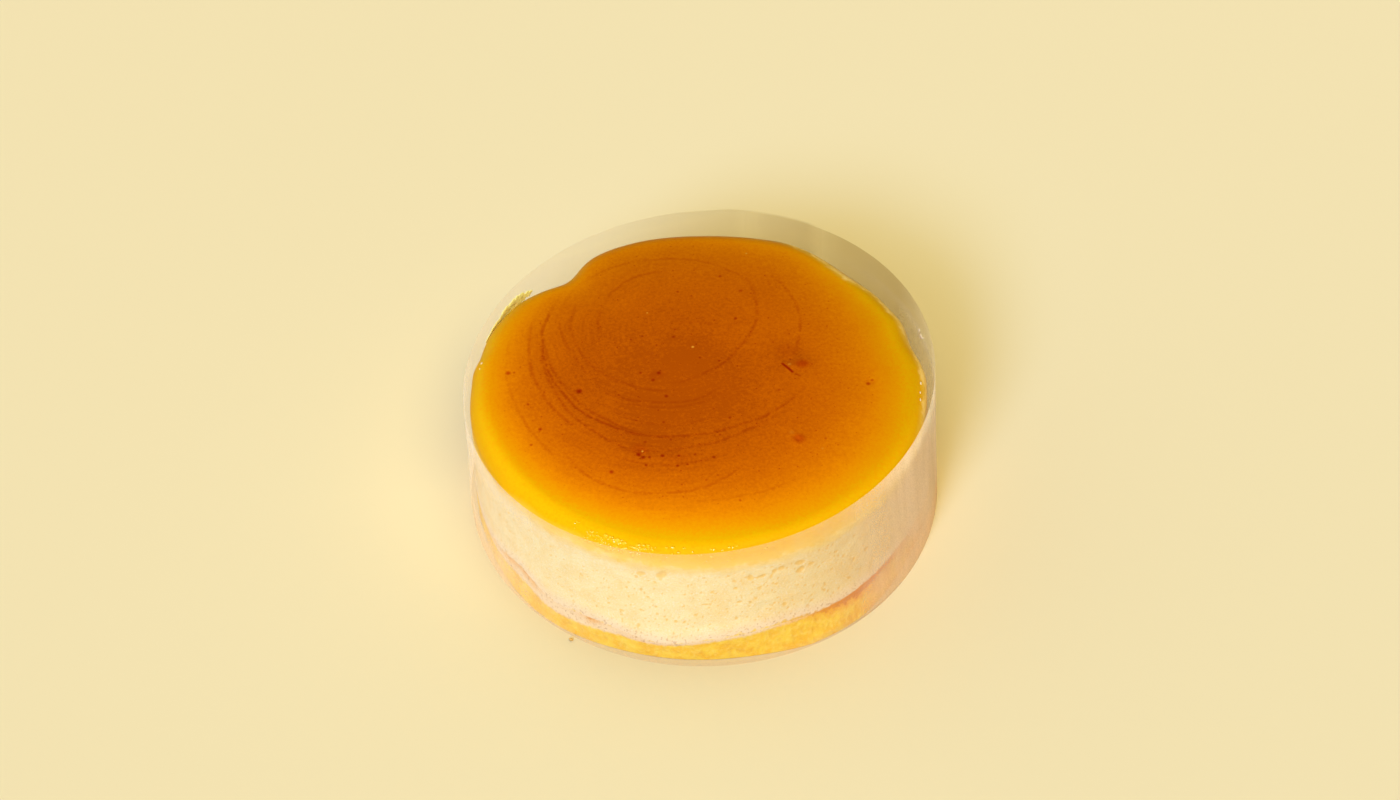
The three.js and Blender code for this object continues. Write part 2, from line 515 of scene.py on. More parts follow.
# Fine dark lines that the skin's swirl left on the top: the centre and radius of each, where
# its middle lies as seen from that centre, how far it reaches to either side, and its strength.
ARCS = [
    (-11.2, 18.3, 37.1, 82, 46, 0.55),
    (-14.5, 31.6, 33.6, -29, 47, 0.6),
    (-9.3, 25.7, 30.4, -143, 53, 0.45),
    (-9.5, 27.4, 21.5, 142, 50, 0.5),
    (-5.3, 27.6, 37.6, -163, 24, 0.45),
    (-5.4, 18.6, 43.5, -149, 56, 1),
    (3, 25.1, 52.1, -145, 30, 0.7),
    (4.3, 17.7, 53.5, -149, 32, 0.8),
    (-3.4, 16.9, 49.7, -163, 30, 0.75),
    (5.7, 12.2, 65.8, -166, 24, 0.5),
    (-12.4, -12.7, 34.1, -97, 51, 0.6),
    (-7.7, 27.8, 52, -77, 33, 0.8),
    (-12.7, 23.4, 53.1, -74, 26, 0.6),
    (-11.2, 24.7, 34.4, -92, 30, 0.5),
    (-10.8, 21.1, 32.8, -84, 25, 0.4),
    (0.5, 23.4, 32.1, 8, 30, 0.65),
    (-9.7, -2.8, 32.8, -90, 28, 0.5),
    (-3.9, 22.1, 72.3, -76, 11, 0.4),
    (-8.9, 6.5, 26, -101, 40, 0.3),
    (-1.6, 12.3, 12.4, 87, 30, 0.35),
]
SWIRL_CENTRE = (-8, 22)
ARC_WIDTH = (0.05, 0.95)  # where a line starts to fade and where it ends, from its middle
ARC_WANDER = 2.4  # how far the lines stray from true arcs, from side to side


def strongest(s, values):
    most = values[0]
    for value in values[1:]:
        most = s.math("MAXIMUM", most, value)
    return most


def arc_line(s, flat, arc):
    """One of the dark lines: 1 on it and 0 beside it."""
    centre_x, centre_y, radius, middle, reach, strength = arc
    from_centre = s.vector_math("SUBTRACT", flat, (centre_x, centre_y, 0))
    away = s.vector_math("LENGTH", from_centre)
    way_to_middle = (cos_deg(middle), sin_deg(middle), 0)
    toward = s.vector_math("DOT_PRODUCT", from_centre, way_to_middle)
    cosine = s.math("DIVIDE", toward, away)
    within = s.span(cosine, cos_deg(reach + 8), cos_deg(reach - 10), 0, strength)
    beside = s.math("ABSOLUTE", s.minus(away, radius))
    return s.times(s.span(beside, *ARC_WIDTH, 1, 0), within)


def swirl_lines(s):
    """The dark lines, and much fainter streaks that run the same way."""
    wander = s.noise(16, 2, output="Color")
    half = ARC_WANDER / 2
    shift = s.vector_math("MULTIPLY_ADD", wander, (ARC_WANDER, ARC_WANDER, 0), (-half, -half, 0))
    x, y, _ = s.axes(s.vector_math("ADD", s.place, shift))
    flat = s.vector(x, y, 0)
    lines = strongest(s, [arc_line(s, flat, arc) for arc in ARCS])
    broken = s.span(s.noise(4, 4, 0.6), 0.34, 0.6, 0.2, 1)
    from_centre = s.vector_math("DISTANCE", flat, (*SWIRL_CENTRE, 0))
    turned = s.vector(from_centre, s.times(x, 0.05), s.times(y, 0.05))
    streaks = s.minus(s.noise(1.5, 3, 0.6, at=turned), 0.5)
    rightwards = s.plus(x, s.times(y, 0.5))
    at_left = s.span(rightwards, -18, 26, 1, 0.15)
    patchy = s.span(s.noise(13, 2), 0.36, 0.6, 0.25, 1)
    streaks = s.times(streaks, s.times(at_left, patchy))
    return s.times(lines, broken), streaks


# Spots on the top: x, y, radius, and how dark.
SPOTS = [
    (-59.8, 7.1, 1.1, 0.8), (-57.9, 7, 0.5, 0.6), (-37.6, -2.8, 1.2, 0.9),
    (-49.8, -17.8, 0.8, 0.8), (-53.5, -7, 0.6, 0.7), (-52.6, -24, 0.6, 0.7),
    (-19.6, -30.6, 1, 0.95), (-18.3, -31.8, 0.9, 0.9), (-16.3, -31.9, 0.6, 0.8),
    (-12.3, -31.6, 0.8, 0.9), (-7.3, -31.9, 0.6, 0.85), (-2.3, -31.6, 0.5, 0.7),
    (-17.4, -35.1, 0.6, 0.8), (-7.8, -35.9, 0.6, 0.85), (-4.7, -35.6, 0.5, 0.75),
    (-28.1, -37.1, 0.9, 0.85), (3.4, -33, 0.7, 0.7), (5.6, -23.9, 0.5, 0.6),
    (8.9, -17, 0.6, 0.65), (-9.5, -25.2, 0.5, 0.6), (-11.6, -17.9, 0.55, 0.6),
    (-20.1, -16.7, 0.5, 0.6), (10.8, -50.6, 0.6, 0.6), (0.8, -42.1, 0.5, 0.6),
    (-17.5, -25.8, 0.7, 0.5), (52.4, -4.1, 0.9, 0.75), (53.7, -2.6, 0.6, 0.65),
    (7.9, 45.6, 0.7, 0.65), (-5.8, 39.1, 0.6, 0.6), (-1.5, 36.9, 0.5, 0.5),
    (-17.4, 19.7, 0.5, 0.6), (-7.6, 18.6, 0.7, 0.65), (-21.1, 18.5, 0.5, 0.6),
    (-7.1, 21.9, 0.5, 0.6), (-12.6, 3.1, 0.9, 0.8), (-18.3, 3.5, 0.6, 0.7),
    (-14.5, 0.2, 0.8, 0.8), (6.4, 7.2, 0.5, 0.8), (12.2, 25.7, 0.7, 0.75),
    (14.3, 38.4, 0.8, 0.6), (0.4, 8.9, 0.5, 0.6), (-10.5, -7, 0.8, 0.8),
    (-25.3, -5.5, 0.5, 0.6), (38, -26.8, 0.5, 0.5), (24.6, -6.1, 0.6, 0.5),
]
GLINTS = [  # painted glints, tiny pale highlights on the top: x, y, radius, strength
    (-18.4, -29.4, 0.4, 0.8), (16.7, 55.9, 0.45, 0.8), (-1.7, 13.7, 0.55, 0.8),
    (-15.7, 30.1, 0.4, 0.6), (28.3, 4.7, 0.7, 0.3), (27.7, -24, 1.1, 0.12),
    (36.8, -30.8, 0.5, 0.3),
]
# Softer marks, and a blister and a dimple: x, y, half the width and the depth, and how dark.
SMUDGES = [
    (32.3, 4.8, 2.9, 2.2, 0.85), (29.8, -26.7, 2.4, 2.4, 0.75), (-19.3, -28.4, 3.6, 2.8, 0.4),
    (28, 11, 4.4, 3.4, 0.2), (-13.5, 2.4, 3.6, 2.2, 0.25), (52.9, -3.5, 2.2, 1.6, 0.3),
    (-38, -3.2, 2, 1.6, 0.3), (-8, -33, 6, 2.4, 0.2),
]
PINPRICKS = [(6, 0.34, 0.6), (2.6, 0.2, 0.65)]  # spacing, radius, and the share left out
CRACKS = [  # the two ends of each, half its width, and its strength
    ((25.6, 5.8), (29.6, 0.8), 0.42, 1),
    ((29.4, 1), (32, -0.8), 0.35, 0.5),
]


def round_marks(s, flat, marks):
    """The strongest of some soft-edged marks: x, y, radius or half sizes, strength."""
    shares = []
    for x, y, *halves, strength in marks:
        offset = s.vector_math("SUBTRACT", flat, (x, y, 0))
        scaled = s.vector_math("DIVIDE", offset, (halves[0], halves[-1], 1))
        shares.append(s.span(s.vector_math("LENGTH", scaled), 0.2, 1.2, strength, 0))
    return strongest(s, shares)


def crack_line(s, flat, crack):
    """A crack: its strength on it and 0 beside it."""
    (x0, y0), (x1, y1), half, strength = crack
    length = math.hypot(x1 - x0, y1 - y0)
    way = ((x1 - x0) / length, (y1 - y0) / length, 0)
    across = (way[1], -way[0], 0)
    offset = s.vector_math("SUBTRACT", flat, ((x0 + x1) / 2, (y0 + y1) / 2, 0))
    along, aside = (s.math("ABSOLUTE", s.vector_math("DOT_PRODUCT", offset, direction))
                    for direction in (way, across))
    ends = s.span(along, length / 2 - 1, length / 2, strength, 0)
    return s.times(s.span(aside, 0.3 * half, 1.6 * half, 1, 0), ends)


def spots_and_cracks(s, flat, baked):
    """Dark baked bubbles of the SPOTS, the CRACKS, and scattered pinpricks."""
    marks = [round_marks(s, flat, SPOTS)]
    marks += [crack_line(s, flat, crack) for crack in CRACKS]
    for size, radius, kept in PINPRICKS:
        distance, colour = s.flat_cells(flat, size)
        chosen = s.span(s.axes(colour)[0], kept, kept + 0.1, 0, 0.6)
        dot = s.span(distance, 0.35 * radius / size, 1.2 * radius / size, 1, 0)
        marks.append(s.times(s.times(dot, chosen), baked))
    return strongest(s, marks)


def crumbly_band(s, colour, share):
    """Where batter and sponge meet: pinkish crumb with darker pinpricks. On the batter's foot this
    is partly painted shade, where it meets the sponge.
    """
    pinprick = s.span(s.noise(0.8, 3, 0.6), 0.55, 0.68, 0, 0.7)
    colour = s.mix(s.times(share, 0.85), colour, CREAM_SHADE)
    return s.mix(s.times(share, pinprick), colour, CRUMB_BROWN)


def side_colour(s, crumb):
    """Cream batter, foamy and porous, yellower under the crust and pinkish at its foot. Painted
    shade darkens it towards the right.
    """
    soft = s.noise(6, 3)
    wavy = s.times(soft, 2)
    crust_mm, above_sponge = s.fact("crust_mm"), s.fact("above_sponge")
    colour = s.mix(s.span(soft, 0.35, 0.7), CREAM, CREAM_WARM)
    colour = s.mix(s.span(s.noise(0.5, 2), 0.54, 0.7, 0, 0.45), colour, FOAM_PALE)
    colour = s.mix(s.span(crumb, 0.5, 0.75, 0, 0.4), colour, PORE_YELLOW)
    colour = s.mix(s.span(s.fact("pore"), 0.1, 0.8, 0, 0.75), colour, PORE_YELLOW)
    # painted shade: the side is darkened by the shade fact towards its right, less just under the
    # crust
    dim = s.times(s.fact("shade"), s.span(crust_mm, -2.6, -1, 2.5, 0.625))
    colour = s.mix(dim, colour, CREAM_PAINTED_SHADE)
    colour = s.mix(s.span(s.plus(crust_mm, wavy), -2.6, 0.2, 0, 0.55), colour, EDGE_YELLOW)
    # partly painted shade: the band of batter just above the sponge is darkened
    low_band = s.span(s.plus(above_sponge, wavy), 1, 6, 1, 0)
    colour = crumbly_band(s, colour, low_band)
    ragged_foot = s.plus(above_sponge, s.swing(s.noise(1.8, 4, 0.6), 5))
    foot_colour = s.mix(s.fact("skin_share"), SPONGE_YELLOW, SPONGE_SKIN)
    return s.mix(s.span(ragged_foot, -0.7, 0.5, 0.85, 0), colour, foot_colour)


def top_colour(s, grain, lines, streaks):
    """The browned crust, with the marks on it, painted glints, and its paler rim. Painted shade
    darkens it towards its far right side.
    """
    x, y, _ = s.axes(s.place)
    flat = s.vector(x, y, 0)
    tone = s.fact("tone")
    baked = s.span(tone, 0.15, 0.75)
    for change in (s.swing(s.noise(9, 4, 0.6), 0.12), s.swing(grain, 0.42),
                   s.times(streaks, s.times(baked, 0.24))):
        tone = s.plus(tone, change)
    colour = s.ramp(tone, CRUST_STOPS)
    for marks, tint in ((s.times(lines, s.times(baked, 0.75)), LINE_TINT),
                        (round_marks(s, flat, SMUDGES), SMUDGE_TINT),
                        (spots_and_cracks(s, flat, baked), SPOT_TINT)):
        colour = s.mix(marks, colour, tint, "MULTIPLY")
    # painted highlights: the glints are mixed into the crust's colour
    colour = s.mix(round_marks(s, flat, GLINTS), colour, GLINT)
    at_front = s.span(y, -50, -25, 1, 0)
    reach = s.math("MULTIPLY_ADD", at_front, 1.8, 2.4)
    strength = s.math("MULTIPLY_ADD", at_front, 0.35, 0.65)
    pale_rim = s.times(s.span(s.fact("crust_mm"), 0.2, reach, 0.8, 0), strength)
    # painted shade: the crust is mixed towards black by the shade fact, most at its far right side
    return s.mix(s.fact("shade"), s.mix(pale_rim, colour, EDGE_YELLOW), BLACK)


def make_cheesecake_material():
    """Cream batter at the side, browned and thinly glazed on top."""
    s = Shader("cheesecake")
    crumb = s.noise(0.8, 3, 0.6)
    grain = s.noise(1, 4, 0.65)
    lines, streaks = swirl_lines(s)
    ragged = s.plus(s.swing(s.noise(2.2, 4, 0.65), 4.2), s.swing(s.noise(7, 2), 4.5))
    on_top = s.span(s.plus(s.fact("crust_mm"), ragged), -1.3, 1.2)
    colour = s.mix(on_top, side_colour(s, crumb), top_colour(s, grain, lines, streaks))
    side_relief = s.times(s.times(crumb, 0.7), s.minus(1, on_top))
    top_relief = s.times(s.minus(s.times(grain, 0.6), s.times(lines, 0.5)), on_top)
    normal = s.bump(top_relief, 0.06, Normal=s.bump(side_relief, 0.22))
    roughness = s.span(on_top, 0, 1, 0.75, 0.4)
    return s.finish(s.surface("Principled", Base_Color=colour, Roughness=roughness,
                              Normal=normal, Specular_IOR_Level=0.03))


SPONGE_DEEP = srgb(242, 184, 22)
SPONGE_PALE = srgb(251, 218, 100)
SPONGE_TOASTED = srgb(238, 160, 22)
SPONGE_PORE = srgb(226, 156, 20)


def make_sponge_material():
    """Soft yellow crumb. Its top edge is soaked with batter, or browned."""
    s = Shader("sponge")
    crumb = s.noise(1.1, 3, 0.6)
    colour = s.mix(s.span(s.noise(4, 3), 0.38, 0.62), SPONGE_YELLOW, SPONGE_DEEP)
    colour = s.mix(s.span(crumb, 0.48, 0.68, 0, 0.45), colour, SPONGE_PALE)
    colour = s.mix(s.times(s.fact("pore"), 0.35), colour, SPONGE_PORE)
    soaked = s.plus(s.fact("soaked"), s.swing(crumb, 1.6))
    colour = crumbly_band(s, colour, s.span(soaked, -0.7, 0.7))
    skin = s.plus(s.fact("skin_mm"), s.swing(s.noise(1.7, 4, 0.65), 5.5))
    share = s.fact("skin_share")
    # browned skin, and at the right partly painted shade: the toasted band below the skin is wide
    # there
    colour = s.mix(s.times(s.span(skin, -2.6, 0.8), share), colour, SPONGE_TOASTED)
    colour = s.mix(s.times(s.span(skin, 0.2, 1.1), share), colour, SPONGE_SKIN)
    return s.finish(s.surface("Principled", Base_Color=colour, Roughness=0.85,
                              Normal=s.bump(crumb, 0.15), Specular_IOR_Level=0.1))


MOST_MIRROR = 0.12  # as much as the film mirrors at a slant
LEAST_COSINE = 0.35  # of the angle at which the haze is looked through
FILM_GLOSS = 0.14
CLEAR = (1, 0.995, 0.985, 1)


def make_film_material():
    """Clear film. It mirrors more at a slant, and is hazy where the cake doesn't touch it."""
    s = Shader("film")
    facing = s.node("LayerWeight").outputs["Facing"]
    one_face = s.math("MULTIPLY_ADD", s.math("POWER", facing, 5), 0.96, 0.04)
    mirror = s.math("DIVIDE", s.times(one_face, 2), s.plus(one_face, 1))
    mirror = s.times(s.math("MINIMUM", mirror, MOST_MIRROR), s.fact("present"))
    cosine = s.math("MAXIMUM", s.minus(1, facing), LEAST_COSINE)
    x, y, z = s.axes(s.place)
    streak = s.noise(6, 2, at=s.vector(x, y, s.times(z, 0.1)))
    haze = s.times(s.fact("haze"), s.span(streak, 0.3, 0.7, 0.85, 1.15))
    # a fine grain, without which the render's denoiser draws lines where the haze sets in
    haze = s.times(haze, s.span(s.noise(0.3, 0), 0.3, 0.7, 0.8, 1.2))
    clear_share = s.math("POWER", s.minus(1, haze), s.math("DIVIDE", 1, cosine))
    # painted shade: the clear film's transparency is darkened at its back right and along its foot
    clear = s.surface("Transparent", Color=s.mix(s.fact("shade_tint"), CLEAR, FILM_SHADE_TINT))
    haze_colour = s.mix(s.span(z, 2, 14), FOOT_HAZE, HAZE_COLOUR)
    milky = s.mix_shaders(0.5, s.surface("Diffuse", Color=haze_colour),
                          s.surface("Translucent", Color=haze_colour))
    body = s.mix_shaders(clear_share, milky, clear)
    return s.finish(s.mix_shaders(mirror, body, s.surface("Anisotropic", Roughness=FILM_GLOSS)))


# painted shade: how much darker the floor is painted just in front of the cake, and how fast that
# fades
FLOOR_PAINTED_SHADE = 0.29  # of the floor, just in front of the cake
FLOOR_SHADE_REACH = 24


def make_floor_material():
    """Plain, and painted a little darker in front of the cake, most at the left: painted shade
    that offsets the light the cake throws on it, as in the photo.
    """
    s = Shader("floor")
    x, y, _ = s.axes(s.place)
    away = s.vector_math("LENGTH", s.place)
    near = s.math("MAXIMUM", away, 1)
    front = s.math("MAXIMUM", s.math("DIVIDE", y, s.times(near, -1)), 0)
    front = s.times(front, s.math("MULTIPLY_ADD", s.math("DIVIDE", x, near), -0.4, 1))
    beyond = s.math("MAXIMUM", s.minus(away, FOOT_RADIUS), 0)
    fading = s.math("EXPONENT", s.times(beyond, -1 / FLOOR_SHADE_REACH))
    # painted shade: the floor is mixed towards black near the front of the cake
    colour = s.mix(s.times(s.times(front, fading), FLOOR_PAINTED_SHADE), FLOOR_COLOUR, BLACK)
    return s.finish(s.surface("Principled", Base_Color=colour, Roughness=0.9,
                              Specular_IOR_Level=0))


# ---- The cake ----

# How the browning comes in from the edge: the angle, where it starts and how far it takes, in
# millimetres along the surface from the side's upper end, and how far it gets by itself.
BROWNING = [
    (-180, 6.4, 10, 0.78), (-150, 8, 10.3, 0.78), (-120, 10.5, 11.5, 0.78),
    (-90, 11.4, 13, 0.78), (-60, 7.5, 15.3, 0.78), (-30, 6, 16.7, 0.75),
    (0, 9.3, 14.5, 0.68), (30, 10, 11.5, 0.68), (60, 5.5, 9, 0.66),
    (90, 3.2, 6.2, 0.58), (120, 3.4, 6.6, 0.6), (135, 5.4, 8.4, 0.7), (150, 5.6, 9.4, 0.72),
    (166, 6.2, 9.6, 0.76), (180, 6.6, 10, 0.78),
]
# Where the crust ends, by angle: millimetres above the side's upper end.
CRUST_ENDS = [
    (-180, -3), (-160, -2), (-145, 0), (-130, 1.4), (-110, 1.6), (-90, 1),
    (-60, 0.9), (-45, 1.2), (-30, 1.8), (-12, 3), (0, 4.6), (20, 6),
    (45, 7.6), (60, 7.4), (70, 4.4), (90, 1.7), (130, 1), (150, 0.5), (180, -3),
]


def rounding_steps(rows):
    """The outward direction at each row of a quarter turn from level to upright."""
    return [(cos_deg(90 * row / rows), sin_deg(90 * row / rows)) for row in range(rows)]


def cake_rings():
    """The cake's profile from underneath to the middle of the top."""
    rings = Rings()
    add_underside(rings, CAKE_RADIUS - TUCK, BATTER_FOOT_HEIGHT)
    rings.add(CAKE_RADIUS - TUCK, BATTER_FOOT_HEIGHT, 0, -1)
    for above in FOOT_EDGE_ROWS:
        rings.add(CAKE_RADIUS, BATTER_FOOT_HEIGHT + above, 1, 0)
    side = CRUST_EDGE_HEIGHT - BATTER_FOOT_HEIGHT
    for row in range(1, CAKE_SIDE_ROWS):
        height = BATTER_FOOT_HEIGHT + side * row / CAKE_SIDE_ROWS
        rings.add(CAKE_RADIUS, height, 1, 0)
    for out, up in rounding_steps(SHOULDER_ROWS):
        height = CRUST_EDGE_HEIGHT + SHOULDER_RADIUS * up
        rings.add(DOME_RADIUS + SHOULDER_RADIUS * out, height, out, up)
    top = CRUST_EDGE_HEIGHT + SHOULDER_RADIUS + DOME_RISE
    add_top(rings, DOME_RADIUS, lambda at: top - DOME_RISE * (at / DOME_RADIUS) ** 2,
            CAKE_TOP_SPACING)
    return rings


def arc_above_side(radius, height):
    """Millimetres along the profile, above the side's upper end and then inwards."""
    slope = np.arctan2(height - CRUST_EDGE_HEIGHT, radius - DOME_RADIUS)
    arc = np.where(height < CRUST_EDGE_HEIGHT, height - CRUST_EDGE_HEIGHT, SHOULDER_RADIUS * slope)
    on_dome = (radius < DOME_RADIUS - 1e-6) & (height > CRUST_EDGE_HEIGHT)
    return np.where(on_dome, SHOULDER_ARC + DOME_RADIUS - radius, arc)


def by_angle(table, angle, column):
    """A column of a table whose first column is the angle, evenly between its rows."""
    rows = np.array(table)
    return np.interp(turn_between(0, angle), rows[:, 0], rows[:, column])


def crust_tone(angle, arc):
    """The crust's tone, from 0, barely baked, to 1, brown."""
    start, reach, amount = (by_angle(BROWNING, angle, column) for column in (1, 2, 3))
    baked = 1 - np.exp(-(np.clip(arc - start, 0, None) / reach) ** 1.15)
    return amount * baked + (0.98 - amount) * np.clip(arc / 54, 0, 1.2)


def crust_painted_shade(angle, arc):
    """How much painted shade darkens the crust towards its far right side, which faces away from
    the lamps.
    """
    side = np.minimum(1, 1.15 * (0.5 + 0.5 * cos_deg(angle - 65)))
    at_rim = waves_at([(20, 0.45, 38)], angle) * (1 - smoothstep(arc, 4, 18))
    return 0.33 * side * (1 - at_rim) * np.exp(-(np.clip(arc, 0, None) / 40) ** 2)


# Broad lighter and browner patches on the top: x, y, radius, and what they add to the tone.
TONE_PATCHES = [
    (21, 13, 24, -0.085), (-18, -27, 13, 0.04), (-40, 2, 10, 0.03),
    (29.5, 8.5, 7, 0.1),
]
# Bumps and dips on the top: x, y, radius, and how far the middle stands up.
BUMPS = [
    (29.5, -26.5, 2.2, 0.35), (29.3, -26.8, 0.9, -0.5), (32.6, 5.7, 2.4, 0.35),
    (27.5, 7, 1.2, -0.3), (31.5, 1.3, 1.2, -0.2), (29, 4.2, 1.5, 0.25),
    (-18.5, -30.8, 1.5, -0.25), (-37.6, -2.8, 1, -0.2), (53, -3.6, 1.2, -0.2),
    (-59.8, 7.1, 1, -0.15),
]
# Pores in the side: how many, between which heights, radii and angles.
CAKE_PORES = [
    (500, (11, 38), (0.3, 0.5)),
    (170, (12, 38), (0.3, 0.6), (-112, -50)),
    (40, (14, 36), (0.5, 0.9), (-112, 40)),
    (6, (31, 36), (1, 1.4), (-80, -66)),
    (4, (36.5, 38.5), (1, 1.6), (-108, -98)),
]
# The side's and the crust edge's unevenness: the seed, the number of waves and their length.
SIDE_COARSE = (5, 40, 9)
SIDE_FINE = (6, 60, 2.2)
CRUST_EDGE = (3, 14, 16)


def side_push(angle, height, depth):
    """How far the batter's side stands out: its pores and its unevenness."""
    coarse, fine = (np.abs(lumps(angle, height, *waves)) for waves in (SIDE_COARSE, SIDE_FINE))
    above_foot = smoothstep(height, BATTER_FOOT_HEIGHT + 0.2, BATTER_FOOT_HEIGHT + 1.8)
    return above_foot * (-0.28 * depth - 0.1 * coarse - 0.04 * fine)


def top_push(x, y):
    """How far the top stands up: its bumps and a slow swell."""
    swell = 0.12 * np.sin(x / 9 + 1) * np.sin(y / 11)
    swell += 0.04 * np.sin(x / 4.1) * np.sin(y / 3.7 + 2)
    return mounds(BUMPS, x, y) + swell


def make_cake(material):
    rings = cake_rings()
    angle, ring_radius, ring_height, out, up = rings.columns()
    radius, height = cake_shape(angle, ring_radius, ring_height)
    at_edge = smoothstep(ring_height, 30, 41) * smoothstep(ring_radius, 55, 70)
    radius += waves_at(EDGE_DETAIL, angle) * at_edge
    arc = arc_above_side(ring_radius, ring_height)
    waver = 0.45 * lumps(angle, np.zeros_like(angle), *CRUST_EDGE)
    crust_mm = arc - by_angle(CRUST_ENDS, angle, 1) - waver

    pores = np.concatenate([scattered_pores(*group) for group in CAKE_PORES])
    depth, pore = pore_depths(pores, angle, ring_height, CAKE_RADIUS)
    on_side = 1 - smoothstep(ring_height, 38.5, 40.5)
    push = on_side * side_push(angle, ring_height, depth)

    # the foot meets the sponge
    above_sponge = ring_height - BATTER_FOOT_HEIGHT
    near_sponge = 1 - smoothstep(above_sponge, 0, FLUSH_REACH)
    height -= SINK * near_sponge + np.where(above_sponge < FOOT_EDGE_ROWS[0] / 2, TUCK / 2, 0)
    wider = sponge_side_radius(angle, SPONGE_HEIGHT) - cake_side_radius(angle, BATTER_FOOT_HEIGHT)
    radius += wider * near_sponge * ring_radius / CAKE_RADIUS

    x, y = radius * cos_deg(angle), radius * sin_deg(angle)
    push += smoothstep(ring_height, 42, 46) * top_push(x, y)
    edge_lip = np.exp(-((crust_mm + 0.3) / 0.8) ** 2) * smoothstep(ring_height, 40.2, 41.5)
    push += 0.12 * edge_lip
    push = np.where(above_sponge > 1e-6, push, 0)
    points = placed(angle, radius + push * out, height + push * up)
    facts = {
        "crust_mm": crust_mm,
        "tone": crust_tone(angle, arc) + mounds(TONE_PATCHES, x, y),
        "shade": crust_painted_shade(angle, arc),
        "pore": pore * on_side,
        "above_sponge": above_sponge - waves_at(YELLOW_FOOT_RISE, angle),
        "skin_share": by_angle(SKIN, angle, 2),
    }
    return mesh_object("cheesecake", points, rings.faces(), material, facts)


# ---- The sponge ----

# The browned skin on the sponge's top edge, partly painted shade at the right: the angle, how far
# down it comes in millimetres, and how dark it is.
SKIN = [
    (-180, 0.5, 0.3), (-152, 0.2, 0.3), (-147.5, 1.2, 0.6), (-143, 0.5, 0.5),
    (-139, 1.2, 0.6), (-134, -0.5, 0.1), (-124, -0.5, 0.1), (-120, 1.4, 0.6),
    (-116, -0.5, 0.1), (-76, -0.5, 0), (-68, 0.3, 0.5), (-61, 1.7, 0.7),
    (-57, 2.4, 0.9), (-52, 2.9, 1), (-47, 2.6, 1), (-42, 2.2, 0.9),
    (-36, 1.8, 0.8), (-24, 1.5, 0.7), (-10, 1, 0.6), (10, 0.9, 0.7), (40, 0.2, 0.4),
    (62, 1, 0.8), (85, 0.2, 0.4), (105, 0.9, 0.7), (130, 0.2, 0.4), (160, 0.8, 0.8),
    (180, 0.5, 0.3),
]
# Where sponge sticks to the batter's foot, the angle, how far up, and how wide.
YELLOW_FOOT_RISE = [(-70, 0.9, 9)]
# How far down from its top the sponge is soaked with batter: angle, millimetres.
SOAKED = [
    (-180, 1.5), (-160, 2), (-150, 3.4), (-135, 4.2), (-122, 4.4), (-112, 3),
    (-100, 1.6), (-80, 1.2), (-68, 0.6), (-55, -1), (-20, -1), (0, 0.5),
    (180, 1.5),
]
SPONGE_PORES = [(500, (1, 9.5), (0.35, 0.7)), (50, (1.5, 9), (0.7, 1))]
SPONGE_FINE = (8, 50, 2.5)  # seed, waves and their length
SPONGE_COARSE = (9, 30, 8)


def sponge_rings():
    rings = Rings()
    foot = SPONGE_RADIUS - FOOT_ROUND
    add_underside(rings, foot, 0)
    for down, out in rounding_steps(ROUNDING_ROWS):
        rings.add(foot + FOOT_ROUND * out, FOOT_ROUND * (1 - down), out, -down)
    side = SPONGE_HEIGHT - SOFT_EDGE - FOOT_ROUND
    for row in range(SPONGE_SIDE_ROWS):
        height = FOOT_ROUND + side * row / SPONGE_SIDE_ROWS
        rings.add(SPONGE_RADIUS, height, 1, 0)
    inner = SPONGE_RADIUS - SOFT_EDGE
    for out, up in rounding_steps(ROUNDING_ROWS):
        height = SPONGE_HEIGHT - SOFT_EDGE * (1 - up)
        rings.add(inner + SOFT_EDGE * out, height, out, up)
    add_top(rings, inner, lambda at: SPONGE_HEIGHT, SPONGE_TOP_SPACING)
    return rings


def make_sponge(material):
    rings = sponge_rings()
    angle, ring_radius, ring_height, out, up = rings.columns()
    radius, height = sponge_shape(angle, ring_radius, ring_height)
    pores = np.concatenate([scattered_pores(*group) for group in SPONGE_PORES])
    depth, pore = pore_depths(pores, angle, ring_height, SPONGE_RADIUS)
    at_side = (ring_radius > SPONGE_RADIUS - FOOT_ROUND) & (ring_height > 0.05)
    at_side &= ring_height < SPONGE_HEIGHT - 0.05
    fine, coarse = (np.abs(lumps(angle, ring_height, *waves))
                    for waves in (SPONGE_FINE, SPONGE_COARSE))
    push = np.where(at_side, -0.4 * depth - 0.06 * fine - 0.12 * coarse, 0)
    push *= 1 - smoothstep(ring_height, SPONGE_HEIGHT - 1.8, SPONGE_HEIGHT - 0.3)
    points = placed(angle, radius + push * out, height + push * up)
    below_top = SPONGE_HEIGHT - ring_height
    facts = {
        "pore": np.where(at_side, pore, 0),
        "skin_mm": by_angle(SKIN, angle, 1) - below_top,
        "skin_share": by_angle(SKIN, angle, 2),
        "soaked": by_angle(SOAKED, angle, 1) - below_top,
    }
    return mesh_object("sponge", points, rings.faces(), material, facts)


# ---- The film ----

